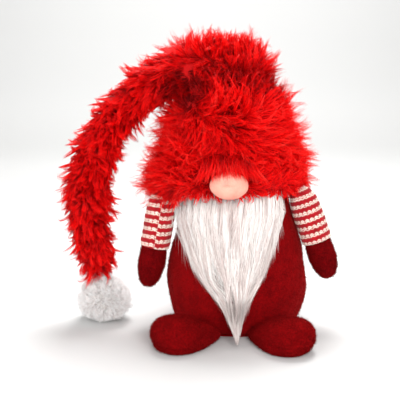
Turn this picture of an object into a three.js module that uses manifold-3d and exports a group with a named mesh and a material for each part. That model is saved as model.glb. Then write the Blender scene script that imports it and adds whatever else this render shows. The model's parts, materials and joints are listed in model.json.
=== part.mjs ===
// A stuffed-fabric tomte gnome: felt body and feet, knitted sleeves, felt mittens, a long straight beard, and
// a long-pile fur hat whose wired tail arches down to a pompom on the floor.
// Millimetres, +Z up, the face looks along -Y. The origin is the centre of the flat base's underside.

import * as THREE from "three";
import { mergeVertices } from "three/addons/utils/BufferGeometryUtils.js";
import Module from "manifold-3d";

const wasm = await Module();
wasm.setup();

// ---- Driving dimensions ----

const GAP = 0.3; // between pieces that touch on the real object
const FELT = 1.5; // thickness of the felt
const KNIT = 1.8; // thickness of the sleeve's knit

const AROUND = { body: 24, limb: 16, ball: 16 }; // segments around a turned shape
const OUTLINE_STEPS = { body: 12, crown: 10 };

const BASE = { radius: 61, cardRadius: 57, cardThick: 2 };
const WEIGHT_BAG = { radius: 46, height: 30, corner: 9 };

// Body and head as radius and height, from the base seam to the top of the head inside the hat.
const BODY_OUTLINE = [
  [61, 1.8],
  [71, 16],
  [76, 43],
  [71, 84],
  [63, 115],
  [54, 150],
  [48, 190],
  [34, 218],
  [0, 230],
];

// A foot is an egg on a flat sole: broad and tall at its toe, and down to heelScale of that at its heel.
const FOOT = { halfLength: 40, halfWidth: 35, halfHeight: 29, centreHeight: 17, heelScale: 0.42 };
const FEET = {
  left: { centre: [-53, -87], splay: -47 },
  right: { centre: [38, -92], splay: 34 },
};

// Each arm hangs from its pivot. Tilt is the outward lean in degrees.
const ARM = { length: 98, cuff: 53, radius: 14.5, shoulder: 10, depthScale: 0.88 };
const ARMS = {
  left: { pivot: [-80, -16, 139], tilt: 10.5 },
  right: { pivot: [68, -24, 143], tilt: -19.5 },
};

const NOSE = { centre: [-12, -87, 163], half: [20, 16, 15], backCut: -74 };

const BEARD = {
  centreX: -7,
  hingeHeight: 144,
  pileTop: 136,
  tipHeight: 8,
  halfWidth: 52,
  backingThick: 2,
  backingInset: 12, // how far the backing's sides lie inside the pile's
  pileThick: 11,
  stripTop: 170,
  stripBottom: 149,
  stripHalfWidth: 48,
};

// Hat crown as radius and height. Its top is folded over into the root of the tail, which lies across it.
const CROWN_OUTLINE = [
  [84, 140],
  [84, 166],
  [77, 202],
  [69, 235],
  [58, 255],
  [38, 266],
  [0, 270],
];
const CROWN = { wall: 12, stuffingBottom: 178, centreX: -9 };
const BRIM = { height: 158, slopeX: 0.028, slopeY: -0.089 };

// The tail's bends in the plane y = 0, from inside the crown to the tail's end, with its radius there.
const TAIL = [
  { x: 6, z: 277, radius: 37 },
  { x: -103, z: 255, radius: 28 },
  { x: -139, z: 216, radius: 26 },
  { x: -159, z: 168, radius: 25 },
  { x: -163, z: 112, radius: 23.5 },
  { x: -154, z: 57, radius: 17 },
];
const TAIL_WALL = 9;
const ROOT_CAP = 34; // how far the rounded start of the tail's root reaches past its first point
const TAIL_RANGE = [
  { inward: 0, outward: 30 },
  { inward: 0, outward: 30 },
  { inward: 3, outward: 30 },
  { inward: 5, outward: 30 },
];
const BEND_MARGIN = 1.5; // degrees of room left beyond each bend's range
const WIRE_RADIUS = 1.2;
const POMPOM = { x: -147, radius: 26.5, tieRadius: 1.2 };

const COLOURS = {
  felt: 0x85100f,
  mittenFelt: 0x7d0e10,
  fur: 0xcf1313,
  knit: 0xb9868a,
  nose: 0xf3c4af,
  beard: 0xf0ebe4,
  backing: 0xd9d2c8,
  pompom: 0xe8dcd6,
  stuffing: 0xf4f4f2,
  card: 0xb59b78,
  pouch: 0xd8d4cc,
  wire: 0x9a9c9f,
  thread: 0xb01818,
};

// ---- Shape helpers ----

function material(colour, metalness = 0) {
  return new THREE.MeshStandardMaterial({
    color: colour,
    roughness: metalness > 0 ? 0.4 : 0.95,
    metalness,
  });
}

function named(name, solid, colour, metalness = 0) {
  const mesh = new THREE.Mesh(geometryOf(solid), material(colour, metalness));
  mesh.name = name;
  return mesh;
}

// A three.js geometry as a solid that can be joined and cut.
function solidOf(geometry) {
  const loose = geometry.index ? geometry.toNonIndexed() : geometry.clone();
  loose.deleteAttribute("normal");
  loose.deleteAttribute("uv");
  const merged = mergeVertices(loose, 1e-4);
  const index = merged.index.array;
  const triangles = [];
  for (let i = 0; i < index.length; i += 3) {
    const [a, b, c] = [index[i], index[i + 1], index[i + 2]];
    if (a !== b && b !== c && c !== a) triangles.push(a, b, c);
  }
  return new wasm.Manifold(
    new wasm.Mesh({
      numProp: 3,
      vertProperties: merged.attributes.position.array,
      triVerts: new Uint32Array(triangles),
    }),
  );
}

function geometryOf(solid) {
  const mesh = solid.getMesh();
  const geometry = new THREE.BufferGeometry();
  geometry.setAttribute("position", new THREE.BufferAttribute(mesh.vertProperties, 3));
  geometry.setIndex(new THREE.BufferAttribute(mesh.triVerts, 1));
  geometry.computeVertexNormals();
  return geometry;
}

// Turns an outline of [radius, height] points about +Z. It runs from the bottom, outside, to the top.
function turned(outline, around) {
  const points = outline.map(([radius, height]) => new THREE.Vector2(Math.max(radius, 0), height));
  return new THREE.LatheGeometry(points, around).rotateX(Math.PI / 2);
}

// A smooth outline through a few [radius, height] points.
function smooth(points, steps) {
  const curve = new THREE.SplineCurve(points.map(([radius, height]) => new THREE.Vector2(radius, height)));
  return curve.getPoints(steps).map((p) => [p.x, p.y]);
}

// Moves an outline outwards (or inwards, when negative) along its own normals.
function offset(outline, distance) {
  return outline.map(([radius, height], i) => {
    if (i === outline.length - 1) return [0, height + distance];
    const before = outline[Math.max(i - 1, 0)];
    const after = outline[i + 1];
    const along = new THREE.Vector2(after[0] - before[0], after[1] - before[1]).normalize();
    return [radius + along.y * distance, height - along.x * distance];
  });
}

function ellipsoid(half, around = AROUND.ball) {
  return new THREE.SphereGeometry(1, around, Math.round(around * 0.6)).rotateX(Math.PI / 2).scale(...half);
}

function block(low, high) {
  const size = high.map((value, i) => value - low[i]);
  const centre = high.map((value, i) => (value + low[i]) / 2);
  return solidOf(new THREE.BoxGeometry(...size).translate(...centre));
}

// Half of space above a height, as a block larger than the object.
function above(height) {
  return block([-400, -400, height], [400, 400, 600]);
}

function tube(from, to, radius) {
  const path = new THREE.LineCurve3(new THREE.Vector3(...from), new THREE.Vector3(...to));
  const section = new THREE.Shape().absarc(0, 0, radius, 0, 2 * Math.PI);
  return new THREE.ExtrudeGeometry(section, { steps: 1, extrudePath: path, curveSegments: 4 });
}

// ---- Body ----

const bodyOutline = smooth(BODY_OUTLINE, OUTLINE_STEPS.body);

// The body's outer surface moved out by a distance, closed down through the floor: what other pieces stay clear of.
function bodyKeepOut(distance) {
  const outline = offset(bodyOutline, distance);
  const [bottomRadius] = outline[0];
  return solidOf(turned([[0, -5], [bottomRadius, -5], ...outline], AROUND.body));
}

function makeBody() {
  const group = new THREE.Group();
  const inner = offset(bodyOutline, -FELT);
  const cover = turned([...bodyOutline, ...inner.reverse(), bodyOutline[0]], AROUND.body);
  group.add(named("body_cover", solidOf(cover), COLOURS.felt));

  const panel = turned([[0, 0], [BASE.radius, 0], [BASE.radius, FELT], [0, FELT]], AROUND.body);
  group.add(named("base_panel", solidOf(panel), COLOURS.felt));

  const cardBottom = FELT + GAP;
  const cardTop = cardBottom + BASE.cardThick;
  const card = turned(
    [[0, cardBottom], [BASE.cardRadius, cardBottom], [BASE.cardRadius, cardTop], [0, cardTop]],
    AROUND.body,
  );
  group.add(named("base_card", solidOf(card), COLOURS.card));

  const bagBottom = cardTop + GAP;
  const bagTop = bagBottom + WEIGHT_BAG.height;
  group.add(named("weight_bag", solidOf(turned(bagOutline(bagBottom, bagTop, 0), AROUND.body)), COLOURS.pouch));

  const filled = offset(bodyOutline, -FELT - GAP).filter(([, height]) => height > bagBottom + 1);
  const hollow = bagOutline(bagBottom, bagTop, GAP).reverse().slice(0, -2);
  const [hollowRadius] = hollow[hollow.length - 1];
  const [rimRadius] = filled[0];
  const rim = [[hollowRadius, bagBottom], [rimRadius - 6, bagBottom]];
  const stuffing = turned([...hollow, ...rim, ...filled], AROUND.body);
  group.add(named("body_stuffing", solidOf(stuffing), COLOURS.stuffing));
  return group;
}

// The pellet pouch: flat below, rounded at its upper edge.
function bagOutline(bottom, top, grow) {
  const radius = WEIGHT_BAG.radius + grow;
  const height = top + grow;
  const bend = WEIGHT_BAG.corner;
  return [[0, bottom], [radius, bottom], [radius, height - bend], [radius - bend, height], [0, height]];
}

// ---- Feet ----

// The egg with its toe towards -Y, every surface shrink inside the outermost one.
function footEgg(shrink) {
  const half = [FOOT.halfWidth - shrink, FOOT.halfLength - shrink, FOOT.halfHeight - shrink];
  const egg = ellipsoid(half).translate(0, 0, FOOT.centreHeight);
  const position = egg.attributes.position;
  for (let i = 0; i < position.count; i++) {
    const heelward = (position.getY(i) / FOOT.halfLength + 1) / 2;
    const scale = 1 + (FOOT.heelScale - 1) * heelward;
    position.setX(i, position.getX(i) * scale);
    position.setZ(i, position.getZ(i) * scale);
  }
  return egg;
}

function makeFoot(side) {
  const { centre, splay } = FEET[side];
  const shape = (shrink) =>
    solidOf(footEgg(shrink).rotateZ(THREE.MathUtils.degToRad(splay)).translate(centre[0], centre[1], 0));
  const clear = bodyKeepOut(GAP);
  const hollow = shape(FELT).intersect(above(FELT));
  const cover = shape(0).intersect(above(0)).subtract(hollow).subtract(clear);
  const stuffing = shape(FELT + GAP).intersect(above(FELT + GAP)).subtract(clear);
  const group = new THREE.Group();
  group.add(named(`foot_${side}_cover`, cover, COLOURS.felt));
  group.add(named(`foot_${side}_stuffing`, stuffing, COLOURS.stuffing));
  return group;
}

// ---- Arms ----

// An arm's outline from its tip up to its shoulder, as radius and height above the pivot.
function armOutline(shrink) {
  const tip = [[0, -ARM.length], [7, -ARM.length + 3], [12.5, -ARM.length + 14], [15, -ARM.length + 28]];
  const shoulder = [[ARM.radius + 0.5, -18], [ARM.shoulder + 3, -4], [ARM.shoulder - 1.5, 6], [0, ARM.shoulder]];
  const upper = [[ARM.radius, -ARM.cuff], ...shoulder];
  const cut = ([radius, height], i, list) => {
    if (i === 0) return [0, height + shrink];
    if (i === list.length - 1) return [0, height - shrink];
    return [radius - shrink, height];
  };
  return [...tip, ...upper].map(cut);
}

function makeArm(side) {
  const outer = armOutline(0);
  const split = outer.findIndex(([, height]) => height === -ARM.cuff);
  const group = new THREE.Group();
  group.position.set(...ARMS[side].pivot);
  group.rotation.y = THREE.MathUtils.degToRad(ARMS[side].tilt);
  group.scale.y = ARM.depthScale;

  const feltInner = armOutline(FELT);
  const cuffBottom = -ARM.cuff - GAP;
  const mitten = [
    ...outer.slice(0, split),
    [ARM.radius, cuffBottom],
    [ARM.radius - FELT, cuffBottom],
    ...feltInner.slice(0, split).reverse(),
  ];
  group.add(named(`arm_${side}_mitten`, solidOf(turned(mitten, AROUND.limb)), COLOURS.mittenFelt));

  const knitInner = armOutline(KNIT);
  const sleeve = [...outer.slice(split), ...knitInner.slice(split).reverse(), outer[split]];
  group.add(named(`arm_${side}_sleeve`, solidOf(turned(sleeve, AROUND.limb)), COLOURS.knit));

  const stuffing = turned(armOutline(KNIT + GAP), AROUND.limb);
  group.add(named(`arm_${side}_stuffing`, solidOf(stuffing), COLOURS.stuffing));
  return group;
}

// ---- Nose ----

function noseSolid(grow) {
  return solidOf(ellipsoid(NOSE.half.map((half) => half + grow)).translate(...NOSE.centre));
}

function makeNose() {
  const backOpening = block([-100, NOSE.backCut, 100], [100, 0, 220]);
  const group = new THREE.Group();
  const cover = noseSolid(0).subtract(noseSolid(-FELT)).subtract(backOpening);
  const stuffing = noseSolid(-FELT - GAP).subtract(backOpening);
  group.add(named("nose_cover", cover, COLOURS.nose));
  group.add(named("nose_stuffing", stuffing, COLOURS.stuffing));
  return group;
}

// ---- Beard ----

// The flap's outline seen from the front: straight across the top, curving in to a point.
function beardShape(top, halfWidth, tip) {
  const shape = new THREE.Shape();
  shape.moveTo(-halfWidth, top);
  shape.bezierCurveTo(-halfWidth, top - 45, -22, tip + 35, -2, tip);
  shape.lineTo(2, tip);
  shape.bezierCurveTo(22, tip + 35, halfWidth, top - 45, halfWidth, top);
  shape.closePath();
  return shape;
}

// Everything in front of the body that lies behind the flap's outline.
function beardPrism(top, halfWidth, tip) {
  const depth = 140;
  const geometry = new THREE.ExtrudeGeometry(beardShape(top, halfWidth, tip), {
    depth,
    bevelEnabled: false,
    curveSegments: 8,
  });
  return solidOf(geometry.rotateX(Math.PI / 2).translate(BEARD.centreX, 0, 0));
}

function makeBeard() {
  const group = new THREE.Group();
  const backFace = 1;
  const backingFront = backFace + BEARD.backingThick;
  const pileBack = backingFront + GAP;
  const skin = (from, to) => bodyKeepOut(to).subtract(bodyKeepOut(from));

  const backing = skin(backFace, backingFront).intersect(
    beardPrism(BEARD.hingeHeight, BEARD.halfWidth - BEARD.backingInset, BEARD.tipHeight + 40),
  );
  group.add(named("beard_backing", backing, COLOURS.backing));

  const pile = skin(pileBack, pileBack + BEARD.pileThick).intersect(
    beardPrism(BEARD.pileTop, BEARD.halfWidth, BEARD.tipHeight),
  );
  group.add(named("beard_pile", pile, COLOURS.beard));

  const stripBox = block(
    [BEARD.centreX - BEARD.stripHalfWidth, -140, BEARD.stripBottom],
    [BEARD.centreX + BEARD.stripHalfWidth, -20, BEARD.stripTop],
  );
  const strip = skin(backFace, backFace + 9).intersect(stripBox).subtract(noseSolid(GAP));
  group.add(named("beard_top_strip", strip, COLOURS.beard));
  return group;
}

// ---- Hat crown ----

function crownDome(shrink) {
  const outline = offset(smooth(CROWN_OUTLINE, OUTLINE_STEPS.crown), -shrink);
  const [, bottomHeight] = outline[0];
  return solidOf(turned([[0, bottomHeight], ...outline], AROUND.body).translate(CROWN.centreX, 0, 0));
}

// A slab below the brim's tilted plane.
function belowBrim() {
  const slab = new THREE.BoxGeometry(400, 400, 200).translate(0, 0, BRIM.height - 100);
  const position = slab.attributes.position;
  for (let i = 0; i < position.count; i += 1) {
    const rise = position.getX(i) * BRIM.slopeX + position.getY(i) * BRIM.slopeY;
    position.setZ(i, position.getZ(i) + rise);
  }
  return solidOf(slab);
}

// ---- Tail ----

// Where each stretch of the tail starts and ends, and how far its ends are coned back to let the bends turn.
function tailStretch(i) {
  const [from, to] = [TAIL[i], TAIL[i + 1]];
  const length = Math.hypot(to.x - from.x, to.z - from.z);
  return { from, to, length, startCone: coneAt(i), endCone: coneAt(i + 1) };
}

function tailDirection(i) {
  return Math.atan2(TAIL[i + 1].x - TAIL[i].x, TAIL[i + 1].z - TAIL[i].z);
}

// The tangent of the cone's angle at a bend. The tail's two free ends are cut square.
function coneAt(i) {
  if (i === 0 || i === TAIL.length - 1) return 0;
  const turn = Math.abs(tailDirection(i) - tailDirection(i - 1));
  const restBend = THREE.MathUtils.radToDeg(Math.min(turn, 2 * Math.PI - turn));
  const { inward, outward } = TAIL_RANGE[i - 1];
  const half = Math.max(restBend + inward, outward - restBend) / 2 + BEND_MARGIN;
  return Math.tan(THREE.MathUtils.degToRad(half));
}

// A turned ring along one stretch: inner and outer radius at both ends, with coned end faces. Overrun lengthens
// its far end.
function stretchRing(i, innerOf, outerOf, overrun = 0) {
  const { from, to, length, startCone, endCone } = tailStretch(i);
  const start = (radius) => [radius, GAP + radius * startCone];
  const end = (radius) => [radius, length - GAP - radius * endCone + overrun];
  const outline = [start(innerOf(from.radius)), start(outerOf(from.radius))];
  outline.push(end(outerOf(to.radius)), end(innerOf(to.radius)));
  if (innerOf(from.radius) > 0) outline.push(outline[0]);
  const ring = turned(outline, AROUND.limb).rotateY(tailDirection(i)).translate(from.x, 0, from.z);
  return solidOf(ring);
}

const furRing = (i) => stretchRing(i, (radius) => radius - TAIL_WALL, (radius) => radius);
const furFull = (i) => stretchRing(i, () => 0, (radius) => radius);
const wirePiece = (i, grow, overrun = 0) => stretchRing(i, () => 0, () => WIRE_RADIUS + grow, overrun);

function tailFilling(i) {
  return stretchRing(i, () => WIRE_RADIUS + GAP, (radius) => radius - TAIL_WALL - GAP);
}

function makeCrown() {
  const group = new THREE.Group();
  const crown = crownDome(0).subtract(crownDome(CROWN.wall)).subtract(belowBrim()).subtract(noseSolid(GAP));
  group.add(named("hat_crown", crown, COLOURS.fur));
  const stuffing = crownDome(CROWN.wall + GAP)
    .intersect(above(CROWN.stuffingBottom))
    .subtract(bodyKeepOut(GAP));
  group.add(named("crown_stuffing", stuffing, COLOURS.stuffing));
  return group;
}

// The tail's root lies across the top of the crown, from its rounded start on the right to the first bend.
function makeTailRoot() {
  const group = new THREE.Group();
  const start = TAIL[0];
  const cap = (shrink) => {
    const radius = start.radius - shrink;
    const ball = ellipsoid([ROOT_CAP - shrink, radius, radius]).rotateY(tailDirection(0) + Math.PI / 2);
    return solidOf(ball.translate(start.x, 0, start.z));
  };
  const filling = (shrink, overrun) => stretchRing(0, () => 0, (radius) => radius - shrink, overrun).add(cap(shrink));
  const dome = crownDome(-GAP);
  const fur = furFull(0).add(cap(0)).subtract(filling(TAIL_WALL, CROWN.wall)).subtract(dome);
  group.add(named("tail_root_fur", fur, COLOURS.fur));
  const stuffing = filling(TAIL_WALL + 2 * GAP, 0).subtract(wirePiece(0, GAP, CROWN.wall)).subtract(dome);
  group.add(named("tail_root_stuffing", stuffing, COLOURS.stuffing));
  group.add(named("tail_root_wire", wirePiece(0, 0).subtract(dome), COLOURS.wire, 1));
  return group;
}

function makeTail() {
  const group = new THREE.Group();
  for (let i = 1; i < TAIL.length - 1; i += 1) {
    const fur = i === 1 ? furRing(i).subtract(crownDome(-1)) : furRing(i);
    group.add(named(`tail_${i}_fur`, fur, COLOURS.fur));
    group.add(named(`tail_${i}_stuffing`, tailFilling(i), COLOURS.stuffing));
    group.add(named(`tail_${i}_wire`, wirePiece(i, 0), COLOURS.wire, 1));
  }
  return group;
}

function makePompom() {
  const group = new THREE.Group();
  const end = TAIL[TAIL.length - 1];
  const centre = new THREE.Vector3(POMPOM.x, 0, POMPOM.radius);
  const tail = new THREE.Vector3(end.x, 0, end.z);
  const down = centre.clone().sub(tail).normalize();
  const knot = tail.clone().addScaledVector(down, GAP);
  const ballTop = centre.clone().addScaledVector(down, -POMPOM.radius - GAP);
  const ball = solidOf(ellipsoid([POMPOM.radius, POMPOM.radius, POMPOM.radius]).translate(...centre));
  group.add(named("pompom", ball, COLOURS.pompom));
  group.add(named("pompom_tie", solidOf(tube(knot, ballTop, POMPOM.tieRadius)), COLOURS.thread));
  return group;
}

// ---- Assembly ----

const gnome = new THREE.Group();
gnome.add(makeBody(), makeFoot("left"), makeFoot("right"));
gnome.add(makeArm("left"), makeArm("right"));
gnome.add(makeNose(), makeBeard());
gnome.add(makeCrown(), makeTailRoot(), makeTail(), makePompom());

export default gnome;
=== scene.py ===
"""Looks of a stuffed-fabric tomte gnome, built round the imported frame. Metres, +Z up, face towards -Y."""

import json
import math

import bpy
import numpy as np
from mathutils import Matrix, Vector


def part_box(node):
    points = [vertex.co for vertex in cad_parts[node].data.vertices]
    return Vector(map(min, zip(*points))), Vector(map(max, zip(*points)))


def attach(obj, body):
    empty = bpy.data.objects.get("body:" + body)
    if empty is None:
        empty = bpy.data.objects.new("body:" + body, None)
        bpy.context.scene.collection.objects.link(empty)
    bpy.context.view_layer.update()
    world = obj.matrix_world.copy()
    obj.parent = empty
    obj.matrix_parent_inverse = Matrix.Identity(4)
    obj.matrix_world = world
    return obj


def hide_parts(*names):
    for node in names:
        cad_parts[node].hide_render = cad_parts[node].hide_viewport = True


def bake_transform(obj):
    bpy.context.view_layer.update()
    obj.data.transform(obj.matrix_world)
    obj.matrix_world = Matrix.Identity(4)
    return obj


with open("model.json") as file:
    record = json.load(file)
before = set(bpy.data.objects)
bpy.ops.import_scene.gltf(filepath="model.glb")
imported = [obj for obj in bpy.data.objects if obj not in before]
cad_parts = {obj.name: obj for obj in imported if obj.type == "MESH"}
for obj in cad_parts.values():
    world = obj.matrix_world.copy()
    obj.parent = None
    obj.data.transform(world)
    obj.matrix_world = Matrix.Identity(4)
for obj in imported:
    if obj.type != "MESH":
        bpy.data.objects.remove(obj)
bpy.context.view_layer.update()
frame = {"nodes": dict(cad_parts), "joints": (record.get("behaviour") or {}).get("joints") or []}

MM = 0.001
FLOOR_CLEAR = 0.3 * MM
UP = np.array([0.0, 0.0, 1.0])
JOINTS = {joint["name"]: joint for joint in frame["joints"]}


def joint_point(name):
    return np.array(JOINTS[name]["pos_m"], float)


# ---- Numbers ----


def unit(vectors):
    return vectors / np.maximum(np.linalg.norm(vectors, axis=-1, keepdims=True), 1e-12)


def ease(low, high, value):
    share = np.clip((value - low) / (high - low), 0, 1)
    return share * share * (3 - 2 * share)


def waves(points, size, seed, count=7):
    """Smooth noise of about -1 to 1: sine waves of about that size in random directions."""
    rng = np.random.default_rng(seed)
    turns = unit(rng.normal(size=(count, 3))) * rng.uniform(0.6, 1.7, (count, 1)) / size
    return 1.7 * np.sin(2 * np.pi * (points @ turns.T) + rng.uniform(0, 6.28, count)).mean(-1)


def through(knots, share):
    """A smooth curve through the knots, read at shares from 0 to 1 of the way along them."""
    knots = np.asarray(knots, float)
    padded = np.concatenate([[2 * knots[0] - knots[1]], knots, [2 * knots[-1] - knots[-2]]])
    place = np.clip(share, 0, 1) * (len(knots) - 1)
    low = np.minimum(place.astype(int), len(knots) - 2)
    t = (place - low).reshape(place.shape + (1,) * (knots.ndim - 1))
    a, b, c, d = (padded[low + i] for i in range(4))
    return 0.5 * (2 * b + (c - a) * t + (2 * a - 5 * b + 4 * c - d) * t**2 + (3 * b - a - 3 * c + d) * t**3)


# ---- Materials ----


def linear(red, green, blue):
    """An 8-bit screen colour as linear light."""
    shares = [value / 255 for value in (red, green, blue)]
    return [s / 12.92 if s <= 0.04045 else ((s + 0.055) / 1.055) ** 2.4 for s in shares] + [1.0]


def plain_material(name, colour, roughness=0.6, specular=0.2, sheen=0.0, sheen_tint=(1, 1, 1, 1), glow=0.0):
    """A material with its finish on the shader's own sockets. Returns it."""
    material = bpy.data.materials.new(name)
    material.use_nodes = True
    shader = material.node_tree.nodes["Principled BSDF"]
    shader.inputs["Base Color"].default_value = colour
    shader.inputs["Roughness"].default_value = roughness
    shader.inputs["Specular IOR Level"].default_value = specular
    shader.inputs["Sheen Weight"].default_value = sheen
    shader.inputs["Sheen Roughness"].default_value = 0.5
    shader.inputs["Sheen Tint"].default_value = sheen_tint
    if glow:
        shader.inputs["Subsurface Weight"].default_value = glow
        shader.inputs["Subsurface Scale"].default_value = 2 * MM
    return material


def node(material, kind, **settings):
    made = material.node_tree.nodes.new(kind)
    for name, value in settings.items():
        if name in made.inputs:
            made.inputs[name].default_value = value
        else:
            setattr(made, name, value)
    return made


def fibrous(material, dark, light, grain, bump, patch=0.03, patchy=0.6):
    """Gives a material matted fibres: fine grain and slow patches between two colours, and a bump."""
    tree = material.node_tree
    shader = tree.nodes["Principled BSDF"]
    place = node(material, "ShaderNodeTexCoord").outputs["Object"]
    fine = node(material, "ShaderNodeTexNoise", Scale=1 / grain, Detail=6, Roughness=0.7)
    slow = node(material, "ShaderNodeTexNoise", Scale=1 / patch, Detail=2)
    mix = node(material, "ShaderNodeMath", operation="MULTIPLY_ADD")
    mix.inputs[1].default_value = patchy
    ramp = node(material, "ShaderNodeValToRGB")
    ramp.color_ramp.elements[0].position = 0.25 + patchy / 2
    ramp.color_ramp.elements[0].color = dark
    ramp.color_ramp.elements[1].position = 0.7 + patchy / 2
    ramp.color_ramp.elements[1].color = light
    lift = node(material, "ShaderNodeBump", Strength=bump, Distance=0.5 * MM)
    tree.links.new(place, fine.inputs["Vector"])
    tree.links.new(place, slow.inputs["Vector"])
    tree.links.new(slow.outputs["Fac"], mix.inputs[0])
    tree.links.new(fine.outputs["Fac"], mix.inputs[2])
    tree.links.new(mix.outputs[0], ramp.inputs["Fac"])
    tree.links.new(ramp.outputs["Color"], shader.inputs["Base Color"])
    tree.links.new(fine.outputs["Fac"], lift.inputs["Height"])
    tree.links.new(lift.outputs["Normal"], shader.inputs["Normal"])
    return material


def tinted_round(material, centre, reach, colour):
    """Mixes a colour into a material round one point."""
    tree = material.node_tree
    shader = tree.nodes["Principled BSDF"]
    far = node(material, "ShaderNodeVectorMath", operation="DISTANCE")
    far.inputs[1].default_value = centre
    share = node(material, "ShaderNodeMapRange", **{"From Min": reach, "From Max": 0.0, "To Max": 0.35})
    mix = node(material, "ShaderNodeMixRGB", Color2=colour)
    tree.links.new(node(material, "ShaderNodeTexCoord").outputs["Object"], far.inputs[0])
    tree.links.new(far.outputs["Value"], share.inputs["Value"])
    tree.links.new(share.outputs["Result"], mix.inputs["Fac"])
    tree.links.new(shader.inputs["Base Color"].links[0].from_socket, mix.inputs["Color1"])
    tree.links.new(mix.outputs["Color"], shader.inputs["Base Color"])
    return material


# ---- Meshes ----


def grid_faces(rows, columns):
    """Quads of a grid of points that closes on itself along its columns."""
    row = np.arange(rows - 1)[:, None] * columns
    here = np.arange(columns)[None, :]
    after = (here + 1) % columns
    corners = [row + here, row + after, row + columns + after, row + columns + here]
    return np.stack(corners, -1).reshape(-1, 4)


def closed(grid, finish=0):
    """A grid of rings, closed at both ends by a fan. Returns points, faces and each face's finish."""
    rows, columns, _ = grid.shape
    points = np.concatenate([grid.reshape(-1, 3), [grid[0].mean(0), grid[-1].mean(0)]])
    first, last = rows * columns, rows * columns + 1
    here = np.arange(columns)
    after = (here + 1) % columns
    top = (rows - 1) * columns
    bottom_fan = np.stack([np.full(columns, first), after, here], -1)
    top_fan = np.stack([np.full(columns, last), top + here, top + after], -1)
    faces = [grid_faces(rows, columns), bottom_fan, top_fan]
    return points, faces, [np.full(len(part), finish) for part in faces]


def build(name, parts, materials):
    """One mesh object from several (points, face arrays, finish arrays)."""
    points = np.concatenate([part[0] for part in parts])
    starts = np.cumsum([0] + [len(part[0]) for part in parts])
    faces, finishes = [], []
    for start, (_, arrays, finish) in zip(starts, parts):
        faces += [array + start for array in arrays]
        finishes += list(finish)
    mesh = bpy.data.meshes.new(name)
    mesh.vertices.add(len(points))
    mesh.vertices.foreach_set("co", points.astype(np.float32).ravel())
    sizes = np.concatenate([np.full(len(f), f.shape[1]) for f in faces])
    mesh.loops.add(int(sizes.sum()))
    mesh.loops.foreach_set("vertex_index", np.concatenate([f.ravel() for f in faces]).astype(np.int32))
    mesh.polygons.add(len(sizes))
    mesh.polygons.foreach_set("loop_start", np.concatenate([[0], np.cumsum(sizes)[:-1]]).astype(np.int32))
    mesh.polygons.foreach_set("material_index", np.concatenate(finishes).astype(np.int32))
    mesh.polygons.foreach_set("use_smooth", np.ones(len(sizes), bool))
    for material in materials:
        mesh.materials.append(material)
    mesh.update(calc_edges=True)
    made = bpy.data.objects.new(name, mesh)
    bpy.context.scene.collection.objects.link(made)
    return made


def shell(surface, rows, columns, low=0.0, high=1.0):
    """The surface's points as a grid of rings."""
    along, around = np.meshgrid(np.linspace(low, high, rows), np.arange(columns) / columns, indexing="ij")
    return surface(around, along)


def slopes(surface, around, along):
    """A surface's outward normal and its direction along, at given places, and the local area."""
    step = 1e-4
    du = (surface(around + step, along) - surface(around - step, along)) / (2 * step)
    dv = (surface(around, along + step) - surface(around, along - step)) / (2 * step)
    cross = np.cross(du, dv)
    return unit(cross), unit(dv), np.linalg.norm(cross, axis=-1)


def scatter(surface, count, seed, low=0.0, high=1.0):
    """About count roots spread evenly over a surface: points, normals and directions along."""
    trial = np.arange(1, 3 * count + 1)
    around = (0.5 + trial * 0.7548776662466927) % 1
    along = low + (high - low) * ((0.5 + trial * 0.5698402909980532) % 1)
    normals, flow, area = slopes(surface, around, along)
    rng = np.random.default_rng(seed)
    kept = rng.random(len(trial)) * 3 * area.mean() < area
    return surface(around, along)[kept], normals[kept], flow[kept]


# ---- Strands ----

STRAND_STEPS = 6
LONG_WISPS = 0.24


def strand_mesh(paths, thick, tones, painted_tip_steps):
    """Tapered three-sided strands along paths (strands, steps, 3). A face's finish goes from the strand's
    tone at its root to the given number of steps lighter at its tip: painted shade at the roots and a
    painted highlight at the tips."""
    count, steps, _ = paths.shape
    along = unit(np.gradient(paths, axis=1))
    side = unit(np.cross(along, unit(np.array([0.31, 0.83, 0.47]))))
    other = np.cross(along, side)
    taper = thick[:, None] * (1 - np.linspace(0, 1, steps) ** 1.5)[None, :]
    angles = 2 * np.pi * np.arange(3) / 3
    ring = side[:, :-1, None] * np.cos(angles)[:, None] + other[:, :-1, None] * np.sin(angles)[:, None]
    rings = paths[:, :-1, None] + ring * taper[:, :-1, None, None]
    points = np.concatenate([rings.reshape(count, -1, 3), paths[:, -1:]], 1)
    per = points.shape[1]
    base = (np.arange(count) * per)[:, None, None]
    quads = grid_faces(steps - 1, 3)[None] + base
    last = per - 4
    tips = np.array([[last, last + 1, per - 1], [last + 1, last + 2, per - 1], [last + 2, last, per - 1]])
    ends = np.array([[2, 1, 0]])
    rise = np.repeat(np.arange(steps - 2) / max(steps - 2, 1), 3)
    quad_tone = tones[:, None] + np.floor(rise * (painted_tip_steps + 0.999))[None]
    finish = [quad_tone.ravel(), np.repeat(tones + painted_tip_steps, 3), tones]
    arrays = [quads.reshape(-1, 4), (tips[None] + base).reshape(-1, 3), (ends[None] + base).reshape(-1, 3)]
    return points.reshape(-1, 3), arrays, finish


def nearest(points, guides):
    """The index of the guide nearest to each point."""
    found = [
        np.argmin(((chunk[:, None] - guides[None]) ** 2).sum(-1), 1)
        for chunk in np.array_split(points, max(len(points) // 500, 1))
    ]
    return np.concatenate(found)


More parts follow.
